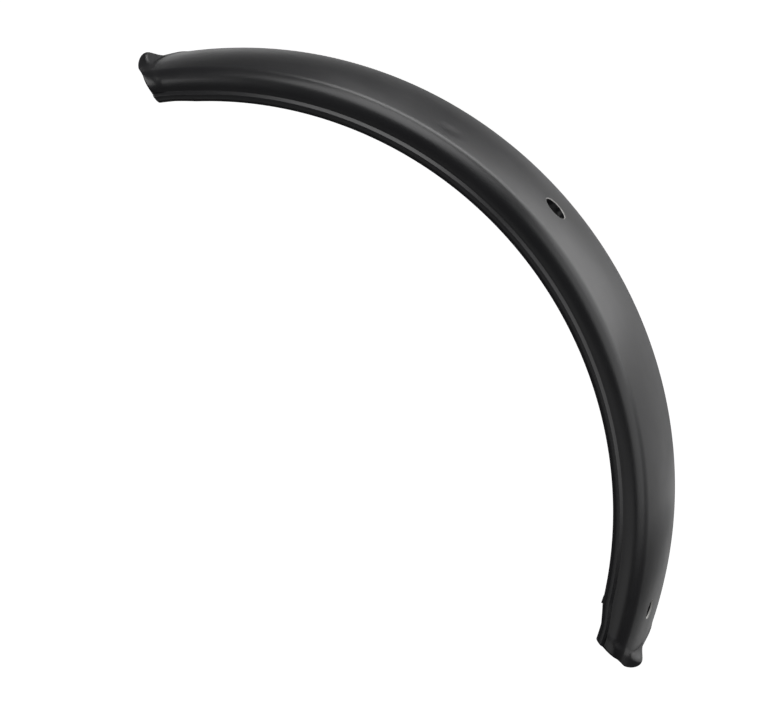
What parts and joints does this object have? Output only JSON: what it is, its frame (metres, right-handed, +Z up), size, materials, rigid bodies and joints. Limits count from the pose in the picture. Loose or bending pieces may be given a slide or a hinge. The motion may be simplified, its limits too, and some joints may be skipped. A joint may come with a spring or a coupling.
{
  "type": "scooter mudguard",
  "caption": "Moulded plastic mudguard for a small scooter wheel: a curved channel with beaded edges, flared ends and two fixing holes in the crown.",
  "frame": {"origin": "centre of the bolt hole, midway through the wall of the crown", "axes": "+Y along the wheel's axle, away from the camera side; +Z up and +X towards the lower, steep end, with the guard as it is fitted over the wheel"},
  "size_m": [0.1377, 0.04, 0.1536],
  "materials": {
    "body": "satin"
  },
  "bodies": {
    "root": {"mudguard": "body"}
  },
  "joints": []
}
